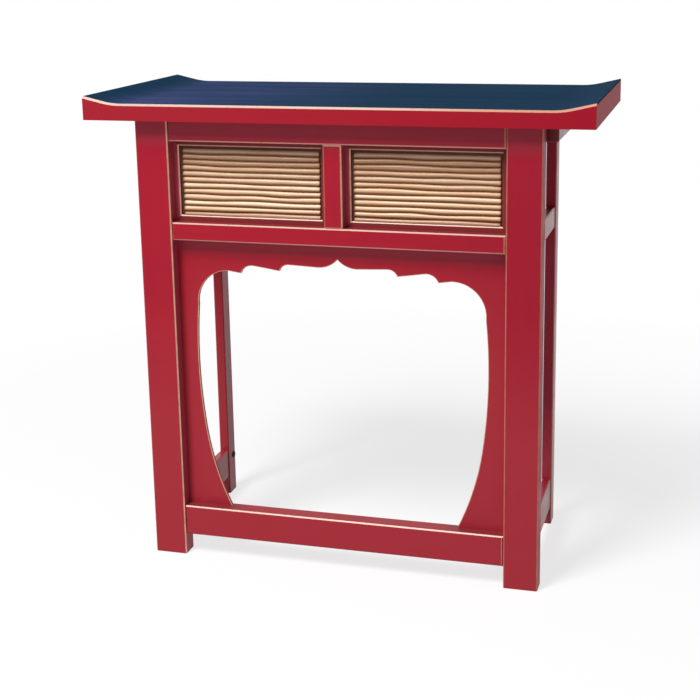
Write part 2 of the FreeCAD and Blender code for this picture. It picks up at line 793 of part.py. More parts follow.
def make_side_rail(name, side, label, low, high):
    """A rail between a stile and a rear leg."""
    body = new_node("side_%s_%s" % (name, label))
    blank = block(body, "Additive",
                  ("side_inner + side_rail_setback", "side_outer - side_rail_setback"),
                  ("stile_rear", "rear_leg_front"), (low, high), side)
    chamfer(body, blank, "side_rail_chamfer", across("x"))
    block(body, "Additive", ("side_tenon_inner", "side_tenon_outer"),
          ("stile_rear - side_tenon_length", "rear_leg_front + side_tenon_length"),
          (low + " + tenon_shoulder", high + " - tenon_shoulder"), side)


def make_fold_stop(name, side):
    """A low rubber button on the inner face of the rear leg."""
    body = new_node("fold_stop_" + name)
    outward = "-X" if side > 0 else "+X"
    inward = "+X" if side > 0 else "-X"
    face = (sided("side_inner", side), "stop_back", "stop_level")
    button = rod(body, "Additive", face, outward, "stop_radius", "stop_height")
    doc.recompute()
    tip = min(abs(vertex.X) for vertex in button.Shape.Vertexes)

    def at_tip(edge):
        return edge.Closed and all(abs(abs(vertex.X) - tip) < 0.001 for vertex in edge.Vertexes)

    names = ["Edge%d" % (i + 1) for i, edge in enumerate(button.Shape.Edges) if at_tip(edge)]
    rounding = body.newObject("PartDesign::Fillet", "Round")
    rounding.Base = (button, names)
    bind(rounding, Radius="stop_round")
    rod(body, "Additive", face, inward, "stop_stem_radius", "stop_stem_length")


def make_side_frame(name, side):
    """A side frame: stile, rear leg, three rails and a fold stop."""
    make_stile(name, side)
    make_rear_leg(name, side)
    for label, (low, high) in SIDE_RAILS.items():
        make_side_rail(name, side, label, low, high)
    make_fold_stop(name, side)


# The top


def batten_screw_places():
    """Depth of each screw along a batten."""
    return ["batten_centre - batten_screw_spread", "batten_centre", "batten_centre + batten_screw_spread"]


def make_top_board():
    """The flat middle of the top, with a tongue at each end."""
    body = new_node("top_board")
    blank = block(body, "Additive", ("-end_start", "end_start"), ("-top_depth / 2", "top_depth / 2"),
                  ("leg_height", "leg_height + top_thickness"))
    chamfer(body, blank, "top_edge_chamfer", top_long_edge(blank))
    for side in SIDES.values():
        block(body, "Additive", ("end_start", "end_start + end_tongue_length"),
              ("-top_depth / 2 + end_run", "top_depth / 2 - end_run"), ("tongue_low", "tongue_high"), side)
        rod(body, "Subtractive", (sided("dowel_across", side), "leg_centre_line", "leg_height"), "+Z",
            "dowel_radius + dowel_fit", "dowel_in_top + end_gap")
        for y in batten_screw_places():
            rod(body, "Subtractive", (sided("batten_middle", side), y, "leg_height"), "+Z",
                "batten_screw_radius + fit_gap", "batten_screw_length - batten_height + end_gap")


def top_long_edge(blank):
    """A test for the two long edges round a blank's upper face."""
    doc.recompute()
    level = blank.Shape.BoundBox.ZMax

    def test(edge):
        on_top = all(abs(vertex.Z - level) < 0.001 for vertex in edge.Vertexes)
        return on_top and abs(edge.tangentAt(edge.FirstParameter).x) > 0.99

    return test


def make_top_end(name, side):
    """An upturned end of the top, grooved for the board's tongue."""
    body = new_node("top_end_" + name)
    sketch = new_sketch(body, "XZ_Plane")
    run = sizes.get("end_run")
    thickness = sizes.get("top_thickness")
    tip = FreeCAD.Vector(run, thickness + sizes.get("end_rise"), 0)
    radius = sizes.get("end_curve_radius")
    centre = FreeCAD.Vector(0, thickness + radius, 0)
    to_tip = tip - centre
    swing = math.atan2(to_tip.x, -to_tip.y) - math.acos(min(radius / to_tip.Length, 1))
    curve = Part.ArcOfCircle(Part.Circle(centre, FreeCAD.Vector(0, 0, 1), radius), -math.pi / 2,
                             -math.pi / 2 + swing)
    corners = [FreeCAD.Vector(0, thickness, 0), FreeCAD.Vector(0, 0, 0), FreeCAD.Vector(run, 0, 0), tip]
    arc = sketch.addGeometry(curve)
    lines = [sketch.addGeometry(Part.LineSegment(a, b)) for a, b in zip(corners, corners[1:])]
    ramp = sketch.addGeometry(Part.LineSegment(tip, curve.EndPoint))
    joint, underside, end_face = lines
    for first, last in ((joint, underside), (underside, end_face), (end_face, ramp)):
        sketch.addConstraint(Sketcher.Constraint("Coincident", first, 2, last, 1))
    sketch.addConstraint(Sketcher.Constraint("Coincident", arc, 1, joint, 1))
    sketch.addConstraint(Sketcher.Constraint("Tangent", arc, 2, ramp, 2))
    sketch.addConstraint(Sketcher.Constraint("PointOnObject", arc, 3, -2))
    fix_point(sketch, joint, 1, "0", "top_thickness")
    fix_point(sketch, joint, 2, "0", "0")
    fix_point(sketch, underside, 2, "end_run", "0")
    fix_point(sketch, end_face, 2, "end_run", "top_thickness + end_rise")
    fix_radius(sketch, arc, "end_curve_radius")
    block_of_end = body.newObject("PartDesign::Pad", "End")
    block_of_end.Profile = sketch
    block_of_end.SideType = "Symmetric"
    bind(block_of_end, Length="top_depth")
    doc.recompute()
    chamfer(body, block_of_end, "top_edge_chamfer", end_upper_edge)
    block(body, "Subtractive", ("0", "end_tongue_length + end_gap"),
          ("-top_depth / 2 + end_run - fit_gap", "top_depth / 2 - end_run + fit_gap"),
          ("tongue_low - leg_height - fit_gap", "tongue_high - leg_height + fit_gap"))
    if side < 0:
        turn(body, (0, 0, 1), 180)
    place(body, sided("end_start", side), "0", "leg_height")


def end_upper_edge(edge):
    """A test for the front and rear edges along the rising upper face of a top end."""
    flat_top = sizes.get("top_thickness")
    tip = flat_top + sizes.get("end_rise")
    run = sizes.get("end_run")
    middle = edge.valueAt((edge.FirstParameter + edge.LastParameter) / 2)
    rising = flat_top + 0.001 < middle.z < tip - 0.001
    return rising and 0.001 < middle.x < run - 0.001 and abs(edge.tangentAt(edge.FirstParameter).y) < 0.01


def make_batten(name, side):
    """A batten under the top beside a side frame, with its screws."""
    body = new_node("top_batten_" + name)
    blank = block(body, "Additive", ("batten_inner", "batten_outer"), ("batten_front", "batten_rear"),
                  ("batten_low", "leg_height"), side)
    doc.recompute()
    low = blank.Shape.BoundBox.ZMin

    def under_edge(edge):
        return all(abs(vertex.Z - low) < 0.001 for vertex in edge.Vertexes)

    chamfer(body, blank, "batten_chamfer", under_edge)
    screws = new_node("batten_screws_" + name)
    x = sided("batten_middle", side)
    for y in batten_screw_places():
        rod(body, "Subtractive", (x, y, "batten_low"), "+Z", "batten_screw_radius + fit_gap", "batten_height")
        taper(body, "Subtractive", (x, y, "batten_low"), "+Z", "batten_screw_head_radius + fit_gap",
              "batten_screw_radius + fit_gap", "batten_screw_head_height")
        make_screw(screws, (x, y, "batten_low"), "+Z", "batten_screw_head_radius", "batten_screw_radius",
                   "batten_screw_head_height", "batten_screw_length")


def make_table():
    """Make every sub-part of the table."""
    for name, side in SIDES.items():
        make_front_leg(name, side)
    make_front_rails()
    make_centre_post()
    make_arch_board()
    for name, side in SIDES.items():
        make_reed_panel(name, side)
    make_dowels()
    for name, side in SIDES.items():
        make_hinges(name, side)
        make_side_frame(name, side)
    make_top_board()
    for name, side in SIDES.items():
        make_top_end(name, side)
        make_batten(name, side)
    doc.recompute()


def check_and_write():
    """Stop at any failed object or bad shape, then write one file per sub-part."""
    for item in doc.Objects:
        if "Invalid" in item.State or "Error" in item.State:
            raise RuntimeError("%s in %s failed" % (item.Label, item.getParentGeoFeatureGroup()))
    for node in nodes:
        if node.Shape.isNull() or not node.Shape.isValid() or not node.Shape.Solids:
            raise RuntimeError("%s has no valid solid" % node.Label)
    os.makedirs("parts", exist_ok=True)
    for node in nodes:
        node.Shape.exportStep("parts/%s.step" % node.Label)


make_table()
check_and_write()
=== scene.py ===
"""Looks of the folding incense table: red lacquer, gilded edges, a blue-black top and reed panels."""

import math
import random

import bmesh
import bpy
from mathutils import Matrix, Vector


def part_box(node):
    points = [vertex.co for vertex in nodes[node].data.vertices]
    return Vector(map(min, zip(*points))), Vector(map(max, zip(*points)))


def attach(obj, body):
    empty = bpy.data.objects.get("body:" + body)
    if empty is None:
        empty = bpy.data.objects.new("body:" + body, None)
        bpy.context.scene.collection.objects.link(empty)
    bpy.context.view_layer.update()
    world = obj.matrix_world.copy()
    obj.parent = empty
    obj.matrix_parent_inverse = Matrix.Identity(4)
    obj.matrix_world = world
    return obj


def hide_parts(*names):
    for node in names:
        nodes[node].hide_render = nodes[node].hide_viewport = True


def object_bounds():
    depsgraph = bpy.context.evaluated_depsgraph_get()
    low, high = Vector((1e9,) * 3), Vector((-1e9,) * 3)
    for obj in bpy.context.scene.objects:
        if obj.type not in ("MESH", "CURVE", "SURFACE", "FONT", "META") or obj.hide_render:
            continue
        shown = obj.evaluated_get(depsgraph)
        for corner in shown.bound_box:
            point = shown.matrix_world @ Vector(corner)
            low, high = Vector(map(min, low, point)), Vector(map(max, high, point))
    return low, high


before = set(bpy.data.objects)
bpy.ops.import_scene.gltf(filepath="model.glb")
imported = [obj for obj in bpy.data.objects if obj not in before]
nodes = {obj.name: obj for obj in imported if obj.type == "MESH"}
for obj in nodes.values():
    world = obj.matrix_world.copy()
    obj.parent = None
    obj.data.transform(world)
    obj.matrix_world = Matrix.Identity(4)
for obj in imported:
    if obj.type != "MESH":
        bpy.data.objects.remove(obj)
cad_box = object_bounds()

MM = 0.001
X, Y, Z = range(3)
# Corners nearer to each other than this are one
SAME_PLACE = 1e-6

# Faces of the front frame that looks are placed by
LEG_INNER_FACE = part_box("front_leg_right")[0].x
LEG_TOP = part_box("front_leg_right")[1].z
RAIL_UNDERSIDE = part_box("front_middle_rail")[0].z
STRETCHER_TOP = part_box("front_bottom_stretcher")[1].z

# Camera, fitted to the corners of the table in the photograph
CAMERA_PLACE = (0.5676, -2.0258, 0.9326)
CAMERA_TURN = (76.961, 0.885, 15.504)
CAMERA_SENSOR = 36.0
CAMERA_LENS = 70.207
CAMERA_SHIFT = (-0.0171, -0.12)

# Studio: one soft lamp from the front left, and an even dim light round it
LAMP_AIM = Vector((0, -0.05, 0.4))
LAMP_DISTANCE = 4.2
LAMP_LEFTWARD = math.radians(25)
LAMP_HEIGHT = math.radians(55)
LAMP_SIZE = (1.15, 1.7)
LAMP_WATTS = 214
AMBIENT = 0.22

# Floor: how pale it is to the eye and to other light, and its glow, which is weaker near the table
FLOOR_RADIUS = 14.0
FLOOR_SIDES = 96
FLOOR_DROP = 0.4 * MM
FLOOR_BOUNCE = 0.6
FLOOR_WHITE = 0.9
FLOOR_ROUGH = 0.9
FLOOR_GLOW_NEAR = 0.75
FLOOR_GLOW_REACH = (0.5, 1.5)

# Linear colours
WHITE = (1, 1, 1, 1)
RED = (0.345, 0.0032, 0.0195, 1)
RED_DEEP = (0.28, 0.002, 0.016, 1)
RED_WARM = (0.375, 0.0055, 0.0205, 1)
RED_PALE = (0.36, 0.021, 0.033, 1)
RED_BRIGHT = (0.50, 0.010, 0.028, 1)
RED_SHADE_DARK = (0.19, 0.022, 0.024, 1)
RED_SHADE_PLUM = (0.43, 0.058, 0.095, 1)
RED_RUBBED = (0.15, 0.010, 0.014, 1)
GOLD = (0.70, 0.40, 0.27, 1)
GOLD_DULL = (0.50, 0.26, 0.165, 1)
GOLD_CREAM = (0.48, 0.345, 0.28, 1)
GOLD_PALE = (0.60, 0.43, 0.36, 1)
GOLD_ROSE = (0.78, 0.39, 0.32, 1)
GOLD_TAN = (0.445, 0.226, 0.155, 1)
NAVY = (0.006, 0.028, 0.058, 1)
NAVY_DEEP = (0.003, 0.019, 0.036, 1)
NAVY_VIOLET = (0.037, 0.049, 0.140, 1)
STRAW = (0.60, 0.35, 0.185, 1)
STRAW_PALE = (0.80, 0.585, 0.385, 1)
STRAW_BROWN = (0.42, 0.20, 0.08, 1)
GROOVE_BROWN = (0.24, 0.085, 0.028, 1)
BRASS = (0.74, 0.52, 0.21, 1)
BRASS_TARNISHED = (0.36, 0.22, 0.08, 1)
BRASS_RUBBED = (0.90, 0.72, 0.40, 1)
RUBBER = (0.008, 0.008, 0.009, 1)
RUBBER_DUSTY = (0.035, 0.033, 0.031, 1)
BEECH = (0.62, 0.42, 0.23, 1)
BEECH_DARK = (0.45, 0.27, 0.13, 1)
STAIN = (0.10, 0.045, 0.022, 1)
STAIN_DARK = (0.055, 0.022, 0.012, 1)

# Stretch of the grain along each axis, and the range that most of a noise lies in
GRAINS = {"x": (6, 170, 170), "y": (170, 6, 170), "z": (170, 170, 6)}
NOISE_RANGE = (0.3, 0.7)
# Parts of a normal between which a face comes to count as square to an axis, and as slanted
SQUARE = (0.9, 0.95)
SLANTED = (0.3, 0.6)
# Samples for rounding edges off, and cosines of the turn between which a point comes to lie on an edge
ROUNDING_SAMPLES = 4
ROUNDING_TURN = (0.995, 0.9)
# Numbers of the sockets that a mix of colours uses
MIX_SHARE, MIX_FIRST, MIX_SECOND, MIX_RESULT = 0, 6, 7, 2


class Recipe:
    """A node material in the making, with one surface shader."""

    def __init__(self, name):
        self.material = bpy.data.materials.new(name)
        self.material.use_nodes = True
        self.tree = self.material.node_tree
        self.surface = self.tree.nodes["Principled BSDF"]

    def feed(self, socket, value):
        """Link a socket, or set a constant on the input itself."""
        if isinstance(value, bpy.types.NodeSocket):
            self.tree.links.new(value, socket)
        else:
            socket.default_value = value

    def node(self, kind, inputs, **settings):
        """Add a node with its settings and inputs."""
        made = self.tree.nodes.new(kind)
        for key, value in settings.items():
            setattr(made, key, value)
        for key, value in inputs.items():
            self.feed(made.inputs[key], value)
        return made

    def finish(self, **inputs):
        """Feed the surface shader, whose inputs are named with underscores."""
        for key, value in inputs.items():
            self.feed(self.surface.inputs[key.replace("_", " ")], value)
        return self.material

    def calc(self, operation, first, second=0.0):
        """Work out one number from one or two others."""
        return self.node("ShaderNodeMath", {0: first, 1: second}, operation=operation).outputs[0]

    def noise(self, scale, detail=3.0, rough=0.55):
        """Noise in the piece's own rest coordinates, with one scale or one for each axis."""
        stretch, even = (scale, 1.0) if isinstance(scale, tuple) else ((1, 1, 1), scale)
        own = self.node("ShaderNodeTexCoord", {}).outputs["Object"]
        vector = self.node("ShaderNodeMapping", {"Vector": own, "Scale": stretch}).outputs[0]
        inputs = {"Vector": vector, "Scale": even, "Detail": detail, "Roughness": rough}
        return self.node("ShaderNodeTexNoise", inputs).outputs[0]

    def spread(self, value, low, high, to_low=0.0, to_high=1.0):
        """Map a range of values on another, clamped."""
        inputs = {"Value": value, "From Min": low, "From Max": high, "To Min": to_low, "To Max": to_high}
        return self.node("ShaderNodeMapRange", inputs).outputs[0]

    def mix(self, share, first, second):
        """Mix two colours."""
        inputs = {MIX_SHARE: share, MIX_FIRST: first, MIX_SECOND: second}
        return self.node("ShaderNodeMix", inputs, data_type="RGBA").outputs[MIX_RESULT]

    def bump(self, height, strength, distance, under=None):
        """A normal with small relief, over another normal where one is given."""
        inputs = {"Height": height, "Strength": strength, "Distance": distance}
        if under is not None:
            inputs["Normal"] = under
        return self.node("ShaderNodeBump", inputs).outputs[0]

    def parts(self, output):
        """The three parts of the piece's own coordinates or normal."""
        own = self.node("ShaderNodeTexCoord", {}).outputs[output]
        return self.node("ShaderNodeSeparateXYZ", {0: own}).outputs

    def facing(self, axis, way, limits, most=1.0):
        """How much a face looks along an axis (way 1) or against it (way -1)."""
        start, end = limits
        return self.spread(self.parts("Normal")[axis], way * start, way * end, 0.0, most)

    def attribute(self, name):
        """A value that the mesh carries at its corners."""
        return self.node("ShaderNodeAttribute", {}, attribute_name=name).outputs["Fac"]

    def rounded_edges(self, radius):
        """A normal that rounds the edges off, and how near an edge a point lies, from 0 to 1."""
        rounded = self.node("ShaderNodeBevel", {"Radius": radius}, samples=ROUNDING_SAMPLES).outputs[0]
        plain = self.node("ShaderNodeNewGeometry", {}).outputs["Normal"]
        alike = self.node("ShaderNodeVectorMath", {0: rounded, 1: plain}, operation="DOT_PRODUCT")
        return rounded, self.spread(alike.outputs["Value"], *ROUNDING_TURN)


# Slanted edge faces that carry gold, by the two sides they lean to, and how much gold each carries: shares
# below one are painted shade that dims the gold
GILT_EDGES = {
    "frame": {("front", "left"): 0.45, ("front", "right"): 1.0,
              ("front", "up"): 0.85, ("front", "down"): 1.0},
    "bar": {("front", "right"): 1.0, ("front", "up"): 1.0, ("front", "down"): 1.0},
    "stretcher": {("front", "up"): 0.88},
    "leg_left": {("front", "right"): 1.0, ("front", "left"): 0.25},
    "leg_right": {("front", "left"): 0.45, ("front", "right"): 0.45},
    "side_left": {("left", "front"): 0.25, ("left", "rear"): 0.25},
    "side_right": {("right", "front"): 0.25, ("right", "rear"): 0.25},
    "top": {("front", "up"): 1.0},
}
# Product of two parts of a normal between which a face comes to count as such an edge
EDGE_LEAN = (0.28, 0.36)
# Worn flecks in the gold, and how much of it is left in them
FLECK_SCALE = 180.0
FLECK_RANGE = (0.64, 0.74)
FLECK_GOLD = 0.5
# Duller patches in the gold
GOLD_PATCH_SCALE = 55.0
GOLD_PATCH_DETAIL = 4.0
GOLD_PATCH_RANGE = (0.38, 0.72)
# How metallic the gold is, how metallic where it faces up or down, and how rough
GILT_METAL = 0.6
GILT_METAL_TILTED = 0.2
GILT_ROUGH = 0.42
# Gold line across the rails near their right end, its soft sides, and how much of the gold is left
END_LINE = (LEG_INNER_FACE - 3.6 * MM, LEG_INNER_FACE - 1.2 * MM)
END_LINE_SOFT = 0.3 * MM
END_GILT = 0.4


def gilt_mask(recipe, edges):
    """Where gold lies: on the slanted edge faces of a piece."""
    x, y, z = recipe.parts("Normal")
    turned = {"right": x, "rear": y, "up": z}
    for side, opposite in (("left", x), ("front", y), ("down", z)):
        turned[side] = recipe.calc("MULTIPLY", opposite, -1.0)
    leaning = {side: recipe.calc("MAXIMUM", part, 0.0) for side, part in turned.items()}
    mask = 0.0
    for (first, second), strength in GILT_EDGES[edges].items():
        both = recipe.calc("MULTIPLY", leaning[first], leaning[second])
        mask = recipe.calc("ADD", recipe.spread(both, *EDGE_LEAN, 0.0, strength), mask)
    flecks = recipe.spread(recipe.noise(FLECK_SCALE), *FLECK_RANGE, 1.0, FLECK_GOLD)
    return recipe.calc("MULTIPLY", mask, flecks)


def gold_colour(recipe, upward=GOLD_CREAM):
    """Gold paint: brighter and duller patches along the line, with painted light in a cream tone where it
    faces up to the lamp and a paler rose where it faces down into shade.
    """
    patch = recipe.noise(GOLD_PATCH_SCALE, GOLD_PATCH_DETAIL)
    gold = recipe.mix(recipe.spread(patch, *GOLD_PATCH_RANGE), GOLD, GOLD_DULL)
    gold = recipe.mix(recipe.facing(Z, -1, SLANTED), gold, GOLD_ROSE)
    return recipe.mix(recipe.facing(Z, 1, SLANTED), gold, upward)


def gilt_metal(recipe, mask):
    """How metallic the gold is: less where it faces up or down."""
    tilt = recipe.calc("ABSOLUTE", recipe.parts("Normal")[Z])
    return recipe.calc("MULTIPLY", mask, recipe.spread(tilt, *SLANTED, GILT_METAL, GILT_METAL_TILTED))


def end_line(recipe):
    """Where gold lies across the front of a rail, near its right end."""
    start, end = END_LINE
    across = recipe.parts("Object")[X]
    line = recipe.calc("MULTIPLY", recipe.spread(across, start, start + END_LINE_SOFT),
                       recipe.spread(across, end, end - END_LINE_SOFT))
    front = recipe.facing(Y, -1, SQUARE)
    return recipe.calc("MULTIPLY", recipe.calc("MULTIPLY", line, front), END_GILT)


# Red lacquer: clouds in it, and brush lines along the piece
RED_CLOUD_SCALE = 7.0
RED_CLOUD_RANGE = (0.35, 0.7)
BRUSH_DETAIL = 5.0
BRUSH_RANGE = (0.5, 0.85)
BRUSH_DEPTH = 0.45
# Places across the table between which the red deepens to the right, painted shade away from the lamp, and
# how much
RIGHT_SHADE = (0.0, 0.3)
RIGHT_SHADE_MOST = 0.55
# Heights between which it grows paler towards the floor, painted light from the floor, those of the arch
# board, and how much
LOW_LIGHT = (0.42, 0.22)
LOW_LIGHT_BOARD = (0.52, 0.32)
LOW_LIGHT_MOST = 0.85
# Heights between which it turns plum in the shade of the top and of the middle rail, and how much
SHADE_OF_TOP = (LEG_TOP - 44 * MM, LEG_TOP - 17 * MM)
SHADE_OF_RAIL = (RAIL_UNDERSIDE - 26 * MM, RAIL_UNDERSIDE - 10 * MM)
SHADE_PLUM = 0.4
# Faces in shade that are painted plum too, as painted shade: the axis and the way that they face, and how
# much
CHEEK_RIGHT = (X, 1, 0.8)
CHEEK_FRONT = (Y, -1, 0.5)
# How much painted shade, a darker or plum red, covers the red of a whole piece
SHADE_TINT_SHARE = 0.9
# Painted shade on upward ledges: how much, the share of that in their middle, and how softly the middle ends
LEDGE_SHADE = 0.9
LEDGE_MIDDLE = 0.45
LEDGE_SOFT = 10 * MM
# How far the middle of the ledge reaches to each side, on the rails and on the stretcher
LEDGE_OF_RAIL = 0.0
LEDGE_OF_STRETCHER = 0.165
# Edges: how far they are rounded off, and the patches in which they are rubbed
LACQUER_ROUNDING = 0.6 * MM
RUBBED_SCALE = 34.0
RUBBED_RANGE = (0.45, 0.65)
RUBBED_MOST = 0.5
# Roughness of the lacquer, on the front frame and on the side frames and battens, and its patches
SATIN = (0.42, 0.54)
GLOSSY = (0.24, 0.34)
SHEEN_SCALE = 22.0
SHEEN_DETAIL = 4.0
# Specular level of the lacquer, and of that on the side rails
SPECULAR = 0.24
SPECULAR_RAILS = 0.34
# Relief: brush lines and orange peel
BRUSH_RELIEF = 0.5
PEEL_RELIEF = 0.5
PEEL_SCALE = 260.0
PEEL_DETAIL = 2.0
LACQUER_BUMP = (0.05, 0.3 * MM)


def red_colour(recipe, axis, low_light=LOW_LIGHT):
    """Red lacquer: clouds and faint brush lines, deeper to the right as painted shade and paler towards the
    floor as painted light.
    """
    cloud = recipe.noise(RED_CLOUD_SCALE)
    lines = recipe.noise(GRAINS[axis], BRUSH_DETAIL)
    across, _, height = recipe.parts("Object")
    colour = recipe.mix(recipe.spread(cloud, *RED_CLOUD_RANGE), RED, RED_WARM)
    colour = recipe.mix(recipe.spread(lines, *BRUSH_RANGE, 0.0, BRUSH_DEPTH), colour, RED_DEEP)
    colour = recipe.mix(recipe.spread(across, *RIGHT_SHADE, 0.0, RIGHT_SHADE_MOST), colour, RED_DEEP)
    colour = recipe.mix(recipe.spread(height, *low_light, 0.0, LOW_LIGHT_MOST), colour, RED_PALE)
    return colour, lines


def paint_shade(recipe, colour, shade_tint, ledge, cheek, shade):
    """Lay painted shade over a red: plum at the heights in shade, and where asked a darker red over the
    whole piece, plum on faces in shade and a darker ledge.
    """
    shaded = recipe.spread(recipe.parts("Object")[Z], *shade, 0.0, SHADE_PLUM)
    colour = recipe.mix(shaded, colour, RED_SHADE_PLUM)
    if shade_tint:
        colour = recipe.mix(SHADE_TINT_SHARE, colour, shade_tint)
    if cheek:
        axis, way, share = cheek
        colour = recipe.mix(recipe.facing(axis, way, SQUARE, share), colour, RED_SHADE_PLUM)
    if ledge is not None:
        across = recipe.calc("ABSOLUTE", recipe.parts("Object")[X])
        outward = recipe.spread(across, ledge - LEDGE_SOFT, ledge + LEDGE_SOFT, LEDGE_MIDDLE)
        shaded_ledge = recipe.calc("MULTIPLY", recipe.facing(Z, 1, SQUARE, LEDGE_SHADE), outward)
        colour = recipe.mix(shaded_ledge, colour, RED_SHADE_DARK)
    return colour


def lacquer(name, axis, gilt=None, shade_tint=None, ledge=None, cheek=None, sheen=SATIN, specular=SPECULAR,
            shade=SHADE_OF_TOP, low_light=LOW_LIGHT):
    """Red lacquer brushed along an axis, with gold on its edges where asked, and on a rail's end line."""
    recipe = Recipe(name)
    colour, lines = red_colour(recipe, axis, low_light)
    colour = paint_shade(recipe, colour, shade_tint, ledge, cheek, shade)
    rounded, edge = recipe.rounded_edges(LACQUER_ROUNDING)
    rubbed = recipe.spread(recipe.noise(RUBBED_SCALE), *RUBBED_RANGE, 0.0, RUBBED_MOST)
    colour = recipe.mix(recipe.calc("MULTIPLY", edge, rubbed), colour, RED_RUBBED)
    rough = recipe.spread(recipe.noise(SHEEN_SCALE, SHEEN_DETAIL), *NOISE_RANGE, *sheen)
    metallic = 0.0
    if gilt:
        mask = gilt_mask(recipe, gilt)
        if ledge is not None:
            mask = recipe.calc("MAXIMUM", mask, end_line(recipe))
        # Painted light: the up-facing gold is paler still on the bars in the recess
        gold = gold_colour(recipe, GOLD_PALE if gilt == "bar" else GOLD_CREAM)
        colour = recipe.mix(mask, colour, gold)
        metallic = gilt_metal(recipe, mask)
        rough = recipe.spread(mask, 0.0, 1.0, rough, GILT_ROUGH)
    peel = recipe.noise(PEEL_SCALE, PEEL_DETAIL)
    relief = recipe.calc("ADD", recipe.calc("MULTIPLY", lines, BRUSH_RELIEF),
                         recipe.calc("MULTIPLY", peel, PEEL_RELIEF))
    return recipe.finish(Base_Color=colour, Roughness=rough, Metallic=metallic, Specular_IOR_Level=specular,
                         Normal=recipe.bump(relief, *LACQUER_BUMP, rounded))


# The top: streaks along it
TOP_STREAKS = (3.0, 120, 1)
TOP_STREAK_DETAIL = 6.0
TOP_STREAK_ROUGH = 0.6
TOP_STREAK_RANGE = (0.45, 0.8)
TOP_STREAK_DEPTH = 0.8
# Its violet haze, a painted sheen: where it grows from each side, its clouds, and the least of it between
# them and beyond
HAZE_RIGHT = (0.05, -0.24)
HAZE_LEFT = (-0.36, -0.31)
HAZE_CLOUDS = (2.6, 7, 1)
HAZE_CLOUD_RANGE = (0.3, 0.6)
HAZE_CLOUD_LEAST = 0.3
HAZE_LEAST = 0.06
# Parts of a normal between which a face comes to count as an end face, and as the upper face
TOP_END_FACE = (0.75, 0.85)
TOP_UPPER_FACE = (0.78, 0.86)
# End faces: their clear coat, and how far and how softly the blue laps over their upper edge
END_COAT = 0.17
END_COAT_ROUGH = 0.2
END_LAP = 2.6 * MM
END_LAP_SOFT = 0.4 * MM
# Places across the table between which the front edge loses its paleness, painted light towards the lamp,
# and how pale it is there
TOP_PALE = (-0.3, 0.3)
TOP_PALE_SHARES = (0.9, 0.5)
# Places across the table between which the gold turns tan, painted shade away from the lamp
TOP_TAN = (0.04, 0.24)
# Roughness, relief and specular level
TOP_SATIN_RANGE = (0.3, 0.8)
TOP_SATIN = (0.5, 0.64)
TOP_BRUSH_RELIEF = 0.4
TOP_BUMP = (0.06, 0.3 * MM)
TOP_SPECULAR = 0.001


def top_navy(recipe, streaks):
    """Blue-black lacquer, streaked along the top, with a painted violet sheen on the left."""
    cloud = recipe.noise(HAZE_CLOUDS)
    across = recipe.parts("Object")[X]
    hazy = recipe.calc("MULTIPLY", recipe.spread(across, *HAZE_RIGHT), recipe.spread(across, *HAZE_LEFT))
    painted_sheen = recipe.calc("MULTIPLY", recipe.spread(cloud, *HAZE_CLOUD_RANGE, HAZE_CLOUD_LEAST),
                         recipe.spread(hazy, 0.0, 1.0, HAZE_LEAST))
    navy = recipe.mix(painted_sheen, NAVY, NAVY_VIOLET)
    return recipe.mix(recipe.spread(streaks, *TOP_STREAK_RANGE, 0.0, TOP_STREAK_DEPTH), navy, NAVY_DEEP)


def top_lacquer():
    """The top: satin blue-black above, red on its edges, gold along the front, shinier ends, with painted
    light and shade on its edges and gold.
    """
    recipe = Recipe("top_lacquer_gilt")
    red, lines = red_colour(recipe, "x")
    streaks = recipe.noise(TOP_STREAKS, TOP_STREAK_DETAIL, TOP_STREAK_ROUGH)
    across, _, level = recipe.parts("Object")
    endward = recipe.spread(recipe.calc("ABSOLUTE", recipe.parts("Normal")[X]), *TOP_END_FACE)
    lap = cad_box[1].z - END_LAP
    lapped = recipe.calc("MULTIPLY", endward, recipe.spread(level, lap - END_LAP_SOFT, lap + END_LAP_SOFT))
    blue = recipe.calc("MAXIMUM", recipe.facing(Z, 1, TOP_UPPER_FACE), lapped)
    coat = recipe.calc("MULTIPLY", recipe.calc("SUBTRACT", endward, lapped), END_COAT)
    pale = recipe.spread(across, *TOP_PALE, *TOP_PALE_SHARES)
    # Painted light: the end faces get a brighter red than the rest
    edge = recipe.mix(endward, recipe.mix(pale, red, RED_PALE), RED_BRIGHT)
    gilt = gilt_mask(recipe, "top")
    gold = recipe.mix(recipe.spread(across, *TOP_TAN), gold_colour(recipe), GOLD_TAN)
    colour = recipe.mix(gilt, recipe.mix(blue, edge, top_navy(recipe, streaks)), gold)
    satin = recipe.spread(streaks, *TOP_SATIN_RANGE, *TOP_SATIN)
    rough = recipe.spread(gilt, 0.0, 1.0, satin, GILT_ROUGH)
    relief = recipe.calc("ADD", recipe.calc("MULTIPLY", lines, TOP_BRUSH_RELIEF), streaks)
    return recipe.finish(Base_Color=colour, Roughness=rough, Metallic=gilt_metal(recipe, gilt),
                         Specular_IOR_Level=TOP_SPECULAR, Coat_Weight=coat, Coat_Roughness=END_COAT_ROUGH,
                         Normal=recipe.bump(relief, *TOP_BUMP))


# Gold on the arch bevel: where it faces down or left, and how much gold it keeps there
ARCH_DOWNWARD = (-0.66, -0.48)
ARCH_DOWNWARD_GOLD = 0.2
ARCH_LEFTWARD = (-0.5, -0.2)
ARCH_LEFTWARD_GOLD = 0.12
# Its grain
ARCH_GRAIN_SCALE = 240.0
ARCH_ROUGH = (GILT_ROUGH - 0.06, GILT_ROUGH + 0.08)
ARCH_BUMP = (0.08, 0.2 * MM)


